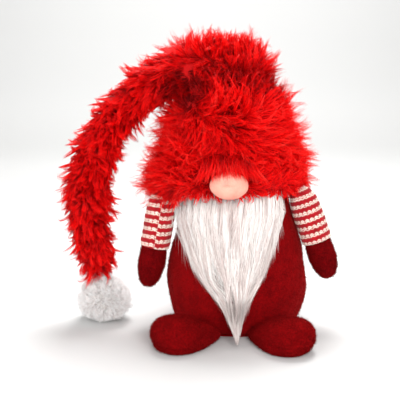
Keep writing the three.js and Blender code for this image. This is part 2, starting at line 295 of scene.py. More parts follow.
def comb_paths(roots, first, last, lengths, steps, curl=None):
    """Paths that leave their roots along first and turn to last, and on along curl at their tips."""
    share = np.linspace(0, 1, steps)[None, :, None]
    turning = first[:, None] * (1 - share) + last[:, None] * share
    if curl is not None:
        turning = turning + curl[:, None] * share**2
    heading = unit(turning)
    stride = lengths[:, None, None] / (steps - 1)
    walk = np.cumsum(heading[:, :-1] * stride, 1)
    return roots[:, None] + np.concatenate([np.zeros((len(roots), 1, 3)), walk], 1)


def guides_for(roots, spacing, rng):
    """For each root, the index of the nearest of some roots picked about spacing apart."""
    size = roots.max(0) - roots.min(0)
    area = 2 * (size[0] * size[1] + size[1] * size[2] + size[0] * size[2])
    count = min(max(int(area / spacing**2), 8), len(roots))
    guides = rng.choice(len(roots), count, replace=False)
    return guides[nearest(roots, roots[guides])]


def gather(paths, mine, pull, rng):
    """Draws each strand's tip towards its guide's."""
    share = np.linspace(0, 1, paths.shape[1])[None, :, None] ** 1.2
    strength = np.minimum(pull * rng.uniform(0.6, 1.1, (len(paths), 1, 1)), 0.97)
    return paths + (paths[mine] - paths) * share * strength


def vector_waves(points, size, seed):
    """Three of the waves, as a vector."""
    return np.stack([waves(points, size, seed + axis) for axis in range(3)], -1)


def long_pile(surface, count, seed, nap_of, length, long_length, keep=None, low=0.0, high=1.0, wisp=6 * MM,
              trim=None, depth=None, tone=2.3):
    """Fur strands over a surface. They stand up, fall over along the nap and gather into curled wisps, and
    about one wisp in four is a long one that stands clear of the rest. Trim scales their length, and depth
    darkens them with painted shade in the creases. Returns their paths and tones."""
    rng = np.random.default_rng(seed)
    roots, normals, flow = scatter(surface, count, seed, low, high)
    if keep is not None:
        kept = keep(roots)
        roots, normals, flow = roots[kept], normals[kept], flow[kept]
    mine = guides_for(roots, wisp, rng)
    long_wisp = (rng.random(len(roots)) < LONG_WISPS)[mine]
    own = rng.normal(size=roots.shape)
    stray = 0.6 * vector_waves(roots, 0.04, seed) + 0.36 * own[mine] + 0.13 * rng.normal(size=roots.shape)
    nap = unit(nap_of(roots, normals, flow))
    lifted = normals * (0.2 + 0.3 * long_wisp[:, None])
    first = unit(0.5 * normals + 0.5 * nap + 0.25 * stray)
    last = unit(nap + stray + lifted)
    curl = 1.1 * rng.normal(size=roots.shape)[mine]
    lengths = np.where(long_wisp, long_length, length) * rng.uniform(0.7, 1.08, len(roots))
    if trim is not None:
        lengths = lengths * trim(roots)
    paths = comb_paths(roots, first, last, lengths, STRAND_STEPS, curl)
    paths = gather(paths, mine, 0.9, rng)
    paths[..., 2] = np.maximum(paths[..., 2], FLOOR_CLEAR)
    shade = tone + 1.1 * waves(roots, 0.016, seed + 5) + 0.8 * long_wisp + rng.normal(0, 0.6, len(roots))
    # Painted shade: darker tones in the creases and under the roll.
    if depth is not None:
        shade = shade - 3.2 * depth(roots, normals)
    return paths, np.clip(np.round(shade), 0, 4).astype(int)


def fuzz(surface, count, seed, length, low=0.0, high=1.0, thick=0.22 * MM):
    """Short stray fibres over a felted surface, as single spikes."""
    rng = np.random.default_rng(seed)
    roots, normals, _ = scatter(surface, count, seed, low, high)
    heading = unit(normals + 0.9 * rng.normal(size=normals.shape))
    lengths = length * rng.uniform(0.4, 1.2, len(roots))
    paths = comb_paths(roots - normals * 0.2 * MM, heading, heading, lengths, 2)
    paths[..., 2] = np.maximum(paths[..., 2], FLOOR_CLEAR)
    return strand_mesh(paths, np.full(len(roots), thick), np.zeros(len(roots), int), 0)


# ---- Surfaces, each a function of the shares around it and along it ----


def revolve(outline, centre=(0.0, 0.0), depth=1.0):
    """A smooth surface turned about Z from knots of (radius, height) in mm, low to high."""
    knots = np.array(outline) * MM

    def surface(around, along):
        profile = through(knots, along)
        angle = 2 * np.pi * around
        radius = np.maximum(profile[..., 0], 0)
        x = centre[0] + radius * np.cos(angle)
        y = centre[1] + radius * depth * np.sin(angle)
        return np.stack([x, y, profile[..., 1]], -1)

    return surface


def oval(centre, half):
    """An ellipsoid from its lower pole to its upper one."""

    def surface(around, along):
        rise = np.pi * (along - 0.5)
        angle = 2 * np.pi * around
        level = np.cos(rise)
        out = [level * np.cos(angle), level * np.sin(angle), np.sin(rise) * np.ones_like(angle)]
        return np.array(centre) + np.stack(out, -1) * np.array(half)

    return surface


def moved(surface, change):
    """The surface with every point changed."""
    return lambda around, along: change(surface(around, along))


def tube(line, radii):
    """A tube along a line of (x, z) knots in the plane y = 0, with a radius at each knot, in mm."""
    line, radii = np.array(line) * MM, np.array(radii) * MM

    def surface(around, along):
        middle = through(line, along)
        ahead = through(line, np.clip(along + 0.004, 0, 1)) - through(line, np.clip(along - 0.004, 0, 1))
        forward = unit(ahead)
        across = np.stack([forward[..., 1], -forward[..., 0]], -1)
        radius = np.maximum(through(radii, along), 0.2 * MM)
        angle = 2 * np.pi * around
        x = middle[..., 0] + radius * np.cos(angle) * across[..., 0]
        z = middle[..., 1] + radius * np.cos(angle) * across[..., 1]
        return np.stack([x, radius * np.sin(angle), z], -1)

    return surface


BODY_OUTLINE = [(52, 2.4), (63, 3.5), (71, 16), (76, 43), (74.5, 64), (71, 84), (62.4, 115), (52, 150),
                (46, 190), (33, 218), (1, 230)]
BODY_FIT = np.array(sorted((z, r) for r, z in BODY_OUTLINE)) * MM


def body_radius(height):
    """The body's radius at a height, without its seam and its unevenness."""
    return np.interp(height, BODY_FIT[:, 0], BODY_FIT[:, 1])


# ---- Hat ----

CROWN_CENTRE = -9 * MM
NOSE_X = -12 * MM
CROWN_OUTLINE = [(68, 145), (75, 150), (75, 160), (69, 172), (59, 202), (51, 235), (43, 247), (28, 254),
                 (1, 257)]
CROWN_SECTORS = 6
CROWN_RANGE = (150 * MM, 270 * MM)
TAIL_LINE = [(28, 269), (26, 269.5), (20, 270.5), (4, 273), (-22, 275), (-54, 274), (-82, 265), (-105, 250),
             (-123, 234), (-138, 214), (-150, 192), (-158, 168), (-162, 140), (-162, 112), (-157, 84),
             (-153, 57)]
TAIL_RADII = [1, 9, 18, 26, 26, 23, 18, 13.5, 12.5, 13, 14.5, 15.5, 16, 15, 13, 9]
TAIL_PIECES = 4
FUR_STRAND = 0.27 * MM
CROWN_COUNT, CROWN_PILE, CROWN_LONG_PILE = 46000, 23 * MM, 36 * MM
ROOT_COUNT, TAIL_COUNT = 10500, 8000
TAIL_PILE, TAIL_LONG_PILE, TAIL_WISP = 18 * MM, 28 * MM, 5.5 * MM
# Base tones of the roll's and the tail's fur; the crown's is 2.3. The tail's lower tone is painted shade on
# the same fur.
ROOT_TONE, TAIL_SHADED_TONE = 2.0, 1.35


def brim_height(x, y):
    """The height of the crown's lower edge, which is a little tilted."""
    return 158 * MM + 0.028 * x - 0.089 * y


def brim_trim(roots):
    """Shorter pile at the back, and round the brim at the front and right, where it ends over the beard."""
    above = roots[:, 2] - brim_height(roots[:, 0], roots[:, 1])
    front = ease(-66 * MM, -48 * MM, roots[:, 0]) * ease(20 * MM, -20 * MM, roots[:, 1])
    back = ease(20 * MM, 60 * MM, roots[:, 1])
    return 1 - 0.5 * front * (1 - ease(2 * MM, 34 * MM, above)) - 0.28 * back


def crown_shape():
    turned = revolve(CROWN_OUTLINE, (CROWN_CENTRE, 0.0))
    low, high = CROWN_RANGE

    def surface(around, along):
        points = turned(around, along)
        brim = brim_height(points[..., 0], points[..., 1]) - 5 * MM
        share = (points[..., 2] - low) / (high - low)
        bulge = 1 + 0.035 * waves(points, 0.07, 11)[..., None]
        height = brim + share * (high - brim)
        spread = (points[..., :2] - [CROWN_CENTRE, 0]) * bulge + [CROWN_CENTRE, 0]
        return np.concatenate([spread, height[..., None]], -1)

    return surface


def tail_shape():
    plain = tube(TAIL_LINE, TAIL_RADII)

    def surface(around, along):
        points = plain(around, along)
        middle = plain(around, along) * 0.5 + plain(around + 0.5, along) * 0.5
        return middle + (points - middle) * (1 + 0.07 * waves(points, 0.05, 21)[..., None])

    return surface


def tail_share(point):
    """How far along the tail's line a point lies."""
    shares = np.linspace(0, 1, 2000)
    line = through(np.array(TAIL_LINE) * MM, shares)
    return shares[np.argmin(((line - point[[0, 2]]) ** 2).sum(-1))]


def fur_piece(name, base, paths, tones, seed):
    """Red strands over a cloth shape."""
    rng = np.random.default_rng(seed)
    girth = FUR_STRAND * rng.uniform(0.7, 1.25, len(paths))
    # Two steps of painted highlight towards each strand's tip, painted shade at its root.
    strands = strand_mesh(paths, girth, tones + 1, 2)
    made = build(name, [base, strands], MATERIALS["red_fur"])
    return made


def crown_nap(roots, normals, flow):
    """Outwards to both sides and down, brushed about at random, and standing out round the crown's edge."""
    outward = roots[:, :1] - CROWN_CENTRE
    side = np.cross(UP, normals) * np.tanh(outward / (50 * MM)) * np.sign(-roots[:, 1:2])
    high = ease(0.19, 0.25, roots[:, 2:3])
    edge = ease(34 * MM, 62 * MM, np.abs(outward))
    brushed = 1.0 * vector_waves(roots, 0.07, 17)
    above = roots[:, 2:3] - brim_height(roots[:, :1], roots[:, 1:2])
    brim = (1 - ease(4 * MM, 26 * MM, above)) * ease(0, -40 * MM, roots[:, 1:2])
    down = -flow * (0.5 - 0.25 * high) * (1 - 0.6 * edge) * (1 - 0.7 * brim)
    standing = normals * (0.6 * edge + 0.4 * brim) + UP * 0.2 * high
    return down + standing + side * (0.8 + 0.4 * brim) + brushed * (1 - 0.4 * brim)


def nose_fringe():
    """Wisps that hang from the crown over the top of the nose."""
    rng = np.random.default_rng(12)
    count = 800
    aside = rng.uniform(-27, 27, count)
    arc = np.sqrt(np.maximum(1 - (aside / 29) ** 2, 0))
    x = NOSE_X + aside * MM
    rise = rng.uniform(-6, 9, count) * arc * MM
    start = np.stack([x, -np.sqrt((72 * MM) ** 2 - (x - CROWN_CENTRE) ** 2), 185 * MM + rise], -1)
    over = np.stack([x, -(80 + 9 * arc) * MM, (176 + 6 * arc) * MM + rise], -1)
    sweep = 0.35 * aside + rng.normal(0, 4, count)
    height = 161 + 12 * arc + rng.normal(0, 2, count)
    end = np.stack([x + sweep * MM, -(87 + 15 * arc) * MM, height * MM], -1)
    share = np.linspace(0, 1, STRAND_STEPS)[None, :, None]
    middle = 2 * over[:, None] * share * (1 - share)
    paths = start[:, None] * (1 - share) ** 2 + middle + end[:, None] * share**2
    mine = guides_for(end, 6 * MM, rng)
    return gather(paths, mine, 0.85, rng), rng.integers(1, 5, count)[mine]


def tail_nap(roots, normals, flow):
    """Along the tail towards its end, a little outwards and down."""
    return flow + normals * 0.15 - UP * 0.15


def root_nap(roots, normals, flow):
    """Standing up and brushed about on the roll over the crown, and lying along the tail where it leaves."""
    arch = ease(-40 * MM, -80 * MM, roots[:, :1])
    top = ease(0.3, 0.9, normals[:, 2:3])
    brushed = 0.9 * vector_waves(roots, 0.06, 19) * (1 - 0.7 * top)
    standing = (0.15 + 0.5 * top) * normals + 0.2 * UP + brushed
    return flow * (0.2 + 0.9 * arch) + standing * (1 - arch)


def tail_gap(points):
    """How far points lie outside the tail's tube."""
    line = through(np.array(TAIL_LINE) * MM, np.linspace(0, 1, 120))
    radii = through(np.array(TAIL_RADII) * MM, np.linspace(0, 1, 120))
    gaps = np.linalg.norm(points[:, None, [0, 2]] - line[None], axis=-1)
    return (np.sqrt(gaps**2 + points[:, None, 1] ** 2) - radii[None]).min(1)


def crown_crease_shade(roots, normals):
    """Painted shade in the crease where the crown runs in under the tail's roll: 1 there, 0 away from it."""
    return ease(33 * MM, 10 * MM, tail_gap(roots)) * (1 - ease(-62 * MM, -90 * MM, roots[:, 0]))


def roll_underside_shade(roots, normals):
    """Painted shade on the underside of the roll: 1 there, 0 on its top."""
    return ease(0.3, -0.4, normals[:, 2]) * ease(-110 * MM, -70 * MM, roots[:, 0])


def in_crown(points, margin):
    """Which points lie inside the crown, deeper than a margin."""
    inner = np.hypot(points[:, 0] - CROWN_CENTRE, points[:, 1])
    knots = np.array(sorted((z, r) for r, z in CROWN_OUTLINE)) * MM
    return inner < np.interp(points[:, 2], knots[:, 0], knots[:, 1], right=0) - margin


def make_crown():
    """The hat's crown with its turned-in edge, its fur parted into sectors of a workable size."""
    surface = crown_shape()
    outer = shell(surface, 60, 120)
    rim = outer[0]
    inward = np.stack([rim[:, 0] - CROWN_CENTRE, rim[:, 1], np.zeros(len(rim))], -1)
    lining = [rim - inward * share + UP * rise * MM for share, rise in ((0.18, 14), (0.12, 4), (0.05, -1))]
    base = closed(np.concatenate([np.array(lining), outer]))
    pieces = []
    for sector in range(CROWN_SECTORS):
        low, high = (np.pi * (2 * (sector + step) / CROWN_SECTORS - 1) for step in (0, 1))

        def mine(roots, low=low, high=high):
            angle = np.arctan2(roots[:, 1], roots[:, 0] - CROWN_CENTRE)
            return (angle >= low) & (angle < high) & (tail_gap(roots) > -4 * MM)

        paths, tones = long_pile(surface, CROWN_COUNT, 40 + sector, crown_nap, CROWN_PILE, CROWN_LONG_PILE,
                                 keep=mine, trim=brim_trim, depth=crown_crease_shade)
        here = base if sector == 0 else (np.zeros((0, 3)), [], [])
        if sector == 1:
            fringe, fringe_tones = nose_fringe()
            paths, tones = np.concatenate([paths, fringe]), np.concatenate([tones, fringe_tones])
        pieces.append(fur_piece(f"hat_fur_{sector + 1}", here, paths, tones, 60 + sector))
    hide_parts("hat_crown", "crown_stuffing")
    for piece in pieces:
        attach(piece, "body")


def make_tail():
    """The tail cut halfway between its bends."""
    surface = tail_shape()
    bends = [tail_share(joint_point(f"tail_bend_{k}")) for k in range(1, TAIL_PIECES + 1)]
    cuts = [bends[0] - 0.05] + [(a + b) / 2 for a, b in zip(bends, bends[1:])] + [1.0]
    starts = [0.0] + cuts[:-1]
    for k, (low, high) in enumerate(zip(starts, cuts)):
        rows = max(int((high - low) * 260), 24)
        base = closed(shell(surface, rows, 56, max(low - 0.004, 0), min(high + 0.004, 1)))
        clear = (lambda roots: ~in_crown(roots, 2 * MM)) if k < 2 else None
        if k == 0:
            name, count, nap, depth, tone = "tail_root", ROOT_COUNT, root_nap, roll_underside_shade, ROOT_TONE
        else:
            name, count, nap, depth, tone = f"tail_{k}", TAIL_COUNT, tail_nap, None, TAIL_SHADED_TONE
        paths, tones = long_pile(surface, count, 80 + k, nap, TAIL_PILE, TAIL_LONG_PILE, keep=clear, low=low,
                                 high=high, wisp=TAIL_WISP, depth=depth, tone=tone)
        made = fur_piece(f"{name}_pile", base, paths, tones, 90 + k)
        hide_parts(f"{name}_fur", f"{name}_stuffing")
        if k == 0:
            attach(made, "body")
            continue
        line = through(np.array(TAIL_LINE) * MM, np.array([bends[k - 1] - 0.02, bends[k - 1] + 0.02]))
        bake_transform(made)


POMPOM_COUNT, POMPOM_STRAND, POMPOM_TUFT = 10500, 0.34 * MM, 3.6 * MM
POMPOM_CORE, POMPOM_SPREAD = 0.78, 0.22


def make_pompom():
    """A ball of short tufts round a core that spreads towards the floor it rests on."""
    low, high = (np.array(corner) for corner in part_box("pompom"))
    centre, half = (low + high) / 2, (high - low) / 2
    plain = oval(centre, half * POMPOM_CORE)

    def surface(around, along):
        points = plain(around, along)
        broad = 1 + POMPOM_SPREAD * ease(0.4, -0.6, (points[..., 2:] - centre[2]) / half[2])
        spread = centre[:2] + (points[..., :2] - centre[:2]) * broad
        return np.concatenate([spread, np.maximum(points[..., 2:], 1.5 * MM)], -1)

    rng = np.random.default_rng(7)
    roots, normals, _ = scatter(surface, POMPOM_COUNT, 7)
    heading = unit(normals + 0.6 * vector_waves(roots, 0.007, 8) + 0.45 * rng.normal(size=roots.shape))
    tuft = guides_for(roots, POMPOM_TUFT, rng)
    reach = half[0] * rng.uniform(0.26, 0.46, len(roots))[tuft] * rng.uniform(0.8, 1.1, len(roots))
    curl = 1.2 * rng.normal(size=roots.shape)
    paths = comb_paths(roots, heading, heading, reach, 4, curl)
    paths = gather(paths, tuft, 0.45, rng)
    paths[..., 2] = np.maximum(paths[..., 2], FLOOR_CLEAR)
    shade = 1.2 + waves(roots, 0.007, 9) + rng.normal(0, 0.6, len(roots))
    tones = np.clip(np.round(shade), 0, 2).astype(int)
    base = closed(shell(surface, 40, 60))
    # One step of painted highlight towards each pompom strand's tip.
    strands = strand_mesh(paths, np.full(len(paths), POMPOM_STRAND), tones + 1, 1)
    made = build("pompom_pile", [base, strands], MATERIALS["white_pile"])
    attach(made, "pompom")
    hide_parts("pompom")


# ---- Body and feet ----


FELT_FIBRE = 2.8 * MM


def felted(name, surface, rows, columns, slot, body, nodes, fibres, seed):
    """A stuffed felt shape with short stray fibres over it."""
    base = closed(shell(surface, rows, columns))
    made = build(name, [base, fuzz(surface, fibres, seed, FELT_FIBRE, 0.02, 0.98)], MATERIALS[slot])
    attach(made, body)
    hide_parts(*nodes)


def body_shape():
    """The pear-shaped sock, a little uneven, with a sunk seam down its back."""
    plain = revolve(BODY_OUTLINE)

    def surface(around, along):
        points = plain(around, along)
        turn = np.mod(2 * np.pi * around - np.pi / 2 + np.pi, 2 * np.pi) - np.pi
        seam = np.exp(-(turn * body_radius(points[..., 2]) / (1.4 * MM)) ** 2)
        swell = 0.012 * waves(points, 0.06, 31) + 0.004 * waves(points, 0.015, 32)
        scale = 1 + swell - seam * 0.018
        return points * np.stack([scale, scale, np.ones_like(scale)], -1)

    return surface


FEET = {"left": ((-52, -88), -53), "right": ((38, -92), 42)}
FOOT_HALF = np.array([35, 40, 29]) * MM
FOOT_CENTRE = 17 * MM
HEEL_NARROWING = 0.34


def foot_shape(side):
    """One plump foot, an egg on a flat sole, turned outwards."""
    (across, ahead), splay = FEET[side]
    plain = oval((0, 0, FOOT_CENTRE), FOOT_HALF)
    turn = math.radians(splay)
    seed = 41 if side == "left" else 45

    def surface(around, along):
        points = plain(around, along)
        scale = 1 - HEEL_NARROWING * (points[..., 1:2] / FOOT_HALF[1] + 1)
        points = points * np.concatenate([scale, np.ones_like(scale), scale], -1)
        uneven = 0.02 * waves(points, 0.03, seed) + 0.006 * waves(points, 0.008, seed + 1)
        points = points * (1 + uneven)[..., None]
        crease = np.exp(-((points[..., 2] - 9 * MM + 0.08 * points[..., 0]) / (1.5 * MM)) ** 2)
        points = points * (1 - 0.03 * crease * ease(5 * MM, -25 * MM, points[..., 1]))[..., None]
        x = points[..., 0] * math.cos(turn) - points[..., 1] * math.sin(turn) + across * MM
        y = points[..., 0] * math.sin(turn) + points[..., 1] * math.cos(turn) + ahead * MM
        z = points[..., 2]
        return np.stack([x, y, 0.5 * (z + np.sqrt(z**2 + (1.5 * MM) ** 2))], -1)

    return surface


def make_body():
    nodes = ("body_cover", "body_stuffing")
    felted("body_felt", body_shape(), 150, 220, "felt", "body", nodes, 26000, 50)
    for side in ("left", "right"):
        nodes = (f"foot_{side}_cover", f"foot_{side}_stuffing")
        felted(f"foot_{side}_felt", foot_shape(side), 90, 130, "felt", "body", nodes, 14000, 52)


# ---- Arms ----

ARMS = {"left": ("arm_left_swing", 10.5, 1.0), "right": ("arm_right_swing", -19.5, 0.955)}
ARM_DEPTH = 0.88
CUFF = 53 * MM
STRIPE = 4.3 * MM
CREAM_SHARE = 0.94
STITCHES = 19
STITCH_ROW = 2.15 * MM
STITCH_SLANT = 1.2
MITTEN_OUTLINE = [(0.5, -98), (4.5, -97), (8.5, -94), (12.3, -85), (14.2, -74), (14.3, -64), (13.4, -55),
                  (12.4, -50), (8, -47)]
SLEEVE_OUTLINE = [(10.5, -48), (12.8, -52), (15.2, -52.6), (15.6, -49), (15.6, -40), (15.5, -25), (15, -12),
                  (13, 0), (8, 8), (0.5, 10.5)]
GRID_PER_STITCH = 16


def arm_placing(side):
    """Moves a shape built at the origin, hanging down, to its shoulder, length and tilt."""
    name, tilt, stretch = ARMS[side]
    pivot, turn = joint_point(name), math.radians(tilt)

    def change(points):
        hang = points[..., 2] * stretch
        x = points[..., 0] * math.cos(turn) + hang * math.sin(turn)
        z = -points[..., 0] * math.sin(turn) + hang * math.cos(turn)
        return np.stack([x, points[..., 1], z], -1) + pivot

    return change


def stripe_run(around, height, side):
    """Height above the cuff in stripes. On the left sleeve a seam down the front shifts its two halves."""
    run = (height + CUFF) / STRIPE
    if side == "left":
        angle = np.mod(around + 0.25, 1) - 0.5
        return run + np.where(angle < 0, -1, 1) * (0.55 - 1.1 * np.abs(angle) * 2) * (np.abs(angle) < 0.5)
    return run


def sleeve_shape(side):
    """A knitted sleeve whose surface stands up in rows of V-shaped stitches."""
    plain = revolve(SLEEVE_OUTLINE, depth=ARM_DEPTH)

    def surface(around, along):
        points = plain(around, along)
        column = around * STITCHES
        row = (points[..., 2] + CUFF) / STITCH_ROW
        leg = np.abs(np.sin(2 * np.pi * column)) ** 0.7
        beat = 0.55 + 0.45 * np.cos(2 * np.pi * (row + STITCH_SLANT * np.abs(2 * np.mod(column, 1) - 1)))
        bulge = 0.5 + 0.5 * np.cos(np.pi * (stripe_run(around, points[..., 2], side) - 0.5)) ** 2
        relief = 0.6 * MM * leg * beat + 0.5 * MM * bulge + 0.4 * MM * waves(points, 0.02, 61) - 0.3 * MM
        grow = 1 + relief / np.maximum(np.hypot(points[..., 0], points[..., 1]), 4 * MM)
        return points * np.stack([grow, grow, np.ones_like(grow)], -1)

    return surface


def mitten_shape(side):
    """A felt mitten with a fold down its front."""
    plain = revolve(MITTEN_OUTLINE, depth=ARM_DEPTH)
    seed = 71 if side == "left" else 75

    def surface(around, along):
        points = plain(around, along)
        fold = np.exp(-((points[..., 0] - 1 * MM + 0.1 * (points[..., 2] + 53 * MM)) / (1.8 * MM)) ** 2)
        depth = fold * ease(-86 * MM, -60 * MM, points[..., 2]) * (points[..., 1] < 0)
        grow = 1 - 0.07 * depth + 0.03 * waves(points, 0.016, seed) + 0.01 * waves(points, 0.005, seed + 1)
        return points * np.stack([grow, grow, np.ones_like(grow)], -1)

    return surface


def make_sleeve(side):
    """A sleeve with each face cream or red by its stripe, and the gaps between cream stitches red."""
    rows, columns = 260, STITCHES * GRID_PER_STITCH
    grid = shell(sleeve_shape(side), rows, columns)
    points, arrays, finish = closed(arm_placing(side)(grid))
    around = ((np.arange(columns) + 0.5) / columns)[None]
    middle = (grid[:-1, :, 2] + grid[1:, :, 2]) / 2
    slant = np.abs(2 * np.mod(around * STITCHES, 1) - 1)
    run = stripe_run(around, middle, side) + 0.18 * (slant - 0.5)
    beat = np.cos(2 * np.pi * ((middle + CUFF) / STITCH_ROW + STITCH_SLANT * slant))
    patches = waves(np.stack([around + 0 * middle, middle * 9, 0 * middle], -1), 0.02, 63)
    gap = (beat < -0.45) & (patches > -0.7)
    edge = np.abs(np.mod(around * STITCHES, 1) - 0.5) > 0.44
    finish[0] = ((np.mod(run, 2) > CREAM_SHARE) | gap | edge).astype(int).ravel()
    made = build(f"arm_{side}_knit", [(points, arrays, finish)], MATERIALS["striped_knit"])
    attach(made, f"arm_{side}")
    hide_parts(f"arm_{side}_sleeve", f"arm_{side}_stuffing")


def make_arms():
    for side in ARMS:
        make_sleeve(side)
        surface = moved(mitten_shape(side), arm_placing(side))
        nodes = (f"arm_{side}_mitten",)
        felted(f"arm_{side}_hand", surface, 70, 100, "mitten_felt", f"arm_{side}", nodes, 5000, 78)


# ---- Nose ----

NOSE_HALF = (19.2 * MM, 15.8 * MM, 13.6 * MM)
NOSE_FOLD = np.array([-3.5, 2.0]) * MM
# The centre of the painted shade in the nose's fold.
NOSE_FOLD_SHADE = (-15.5 * MM, -102 * MM, 169 * MM)


def nose_shape():
    """A rounded ball of jersey with a small forked fold in its front."""
    low, high = (np.array(corner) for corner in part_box("nose_cover"))
    centre = np.array([(low[0] + high[0]) / 2, -87 * MM, (low[2] + high[2]) / 2 + 1.2 * MM])
    plain = oval((0, 0, 0), NOSE_HALF)

    def surface(around, along):
        points = plain(around, along)
        front = ease(0, -12 * MM, points[..., 1])
        aside = points[..., 0] - NOSE_FOLD[0]
        rise = points[..., 2] - NOSE_FOLD[1]
        bow = rise + 0.012 / MM * aside**2
        crease = np.exp(-((bow / (0.8 * MM)) ** 2)) * np.exp(-((aside / (4.5 * MM)) ** 2))
        fork = np.exp(-(((np.abs(aside) - 0.5 * rise) / (0.8 * MM)) ** 2))
        fork = fork * (rise > 0) * ease(8 * MM, 4 * MM, rise)
        grow = 1 - (0.09 * crease + 0.04 * fork) * front + 0.02 * waves(points, 0.018, 81)
        return points * grow[..., None] + centre

    return surface


def make_nose():
    made = build("nose_jersey", [closed(shell(nose_shape(), 150, 180))], MATERIALS["nose_jersey"])
    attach(made, "body")
    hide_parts("nose_cover", "nose_stuffing")


# ---- Beard ----

# Knots of (height, half-width, middle) in mm.
BEARD_EDGE = [(4, 0.5, -3), (23, 4.5, -4), (35.5, 10, -5), (48, 18, -7), (60, 26, -8.5), (72, 33, -10.5),
              (84, 38, -11), (96.5, 43, -11.5), (108.6, 48, -12), (119, 53, -12), (128, 56, -11),
              (147, 54.5, -9), (168, 50, -8)]
BEARD_TOP, BEARD_TIP = 168 * MM, 4 * MM
BEARD_COUNT, BEARD_STRAND, BEARD_LOCK = 6900, 0.34 * MM, 3.6 * MM
# Each parting's place across, its height, its reach up and down, and its width.
BEARD_PARTINGS = [(-0.44, 62 * MM, 17 * MM, 0.23), (-0.05, 43 * MM, 13 * MM, 0.24)]


def beard_point(across, height, depth):
    """A point on the beard: across from -1 to 1, at a height, and depth out from the body's skin. The tip
    leans forwards, between the feet."""
    edge = np.array(BEARD_EDGE) * MM
    half = np.interp(height, edge[:, 0], edge[:, 1])
    middle = np.interp(height, edge[:, 0], edge[:, 2])
    x = middle + across * half
    lean = 22 * MM * ease(30 * MM, 5 * MM, height)
    radius = body_radius(np.maximum(height, 20 * MM)) + depth + lean
    y = -np.sqrt(np.maximum(radius**2 - x**2, (20 * MM) ** 2))
    return np.stack([x, y, height], -1)


def beard_layer(seed, deep):
    """Long straight locks that fall together towards the point, with loose ends and partings low down.
    Deep is the range of their depths, from 0 against the backing to 1 at the front."""
    rng = np.random.default_rng(seed)
    count = BEARD_COUNT
    across = rng.uniform(-1, 1, count)
    top = BEARD_TOP - (BEARD_TOP - BEARD_TIP) * 0.62 * rng.random(count) ** 1.25
    length = rng.uniform(0.05, 0.1, count)
    layer = rng.uniform(*deep, count)
    lock = np.stack([across * 55 * MM, layer * 6 * MM, top * 0.25], -1)
    mine = guides_for(lock, BEARD_LOCK, rng)
    share = np.linspace(0, 1, STRAND_STEPS)[None]
    stray = 0.1 * np.clip(rng.normal(size=count)[mine], -1.4, 1.4)[:, None]
    stray = stray + 0.03 * rng.normal(size=(count, 1))
    bend = 0.06 * rng.normal(size=count)[mine][:, None]
    lowest = BEARD_TIP + 3 * MM * rng.random((count, 1))
    height = np.maximum(top[:, None] - length[:, None] * share, lowest)
    place = across[:, None] + stray * share**2 + bend * np.sin(np.pi * share)
    splay = 0.3 * (rng.random(count) < 0.35)[mine] * rng.uniform(0.3, 1, count)[mine]
    place = place + (splay * across)[:, None] * share**3
    for spot, level, reach, wide in BEARD_PARTINGS:
        aside = place - spot
        open_here = np.exp(-(((height - level) / reach) ** 2))
        place = place + wide * open_here * np.sign(aside) * np.exp(-((aside / wide) ** 2))
    thickness = 3 + 8 * (1 - 0.6 * across[:, None] ** 2) * ease(0.02, 0.09, height)
    out = (2.2 + thickness * layer[:, None] * ease(0, 0.3, share)) * MM
    paths = beard_point(place, height, out)
    loose = 2.2 * MM * np.clip(rng.normal(size=count)[mine], -1.5, 1.5)
    loose = loose + 0.7 * MM * rng.normal(size=count)
    paths[..., 0] += loose[:, None] * share**2 * (0.2 + 0.8 * ease(0.01, 0.07, height))
    paths = gather(paths, mine, 0.45, rng)
    paths[..., 2] = np.maximum(paths[..., 2], FLOOR_CLEAR)
    # Painted shade: strands that end low down get darker tones.
    low_shade = ease(0.1, 0.03, top - length)
    shade = 1.7 + 0.9 * rng.normal(size=count)[mine] + 0.5 * rng.normal(size=count) - 0.9 * low_shade
    tones = np.clip(np.round(shade), 0, 3).astype(int)
    return strand_mesh(paths, BEARD_STRAND * rng.uniform(0.6, 1.3, count), tones + 1, 0)


def make_beard():
    """The locks in front and the ones under them."""
    for name, seed, deep in (("beard_locks", 5, (0.55, 1.0)), ("beard_underlocks", 6, (0.1, 0.6))):
        made = build(name, [beard_layer(seed, deep)], MATERIALS["beard_pile"])
        if name == "beard_locks":
            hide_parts("beard_pile", "beard_top_strip")
        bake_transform(made)


def make_backing():
    """The cloth that the beard is sewn to, following the body's skin."""
    rows, columns = 60, 48
    height = np.linspace(143 * MM, 48 * MM, rows)[:, None]
    reach = 0.8 * ease(44 * MM, 120 * MM, height)
    across = np.linspace(-1, 1, columns)[None] * reach
    front = beard_point(across, height + 0 * across, 2.6 * MM)
    back = beard_point(across, height + 0 * across, 1.2 * MM)[:, ::-1]
    made = build("beard_cloth", [closed(np.concatenate([front, back], 1)[::-1])], MATERIALS["beard_backing"])
    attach(made, "beard")
    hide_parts("beard_backing")


# ---- Finishes ----


# The darkest fur shade mostly carries the painted crease shade; the two lightest, pinker shades appear only
# at strand tips, as painted highlights.
FUR_SHADES = [(112, 0, 2), (160, 1, 3), (194, 2, 4), (222, 4, 6), (242, 8, 8), (252, 18, 14), (255, 50, 42)]
# The lightest pompom shade appears only at strand tips, as a painted highlight.
POMPOM_SHADES = [(236, 226, 223), (250, 244, 242), (255, 253, 252), (255, 255, 254)]
BEARD_SHADES = [(208, 192, 188), (230, 219, 215), (244, 238, 234), (252, 249, 247)]


def toned(ground, name, shades, roughness, specular, sheen=0.0):
    """The cloth under a pile, then one plain material for each of the pile's tones."""
    tones = [
        plain_material(f"{name}_tone_{k}", linear(*shade), roughness, specular, sheen)
        for k, shade in enumerate(shades)
    ]
    return [ground] + tones


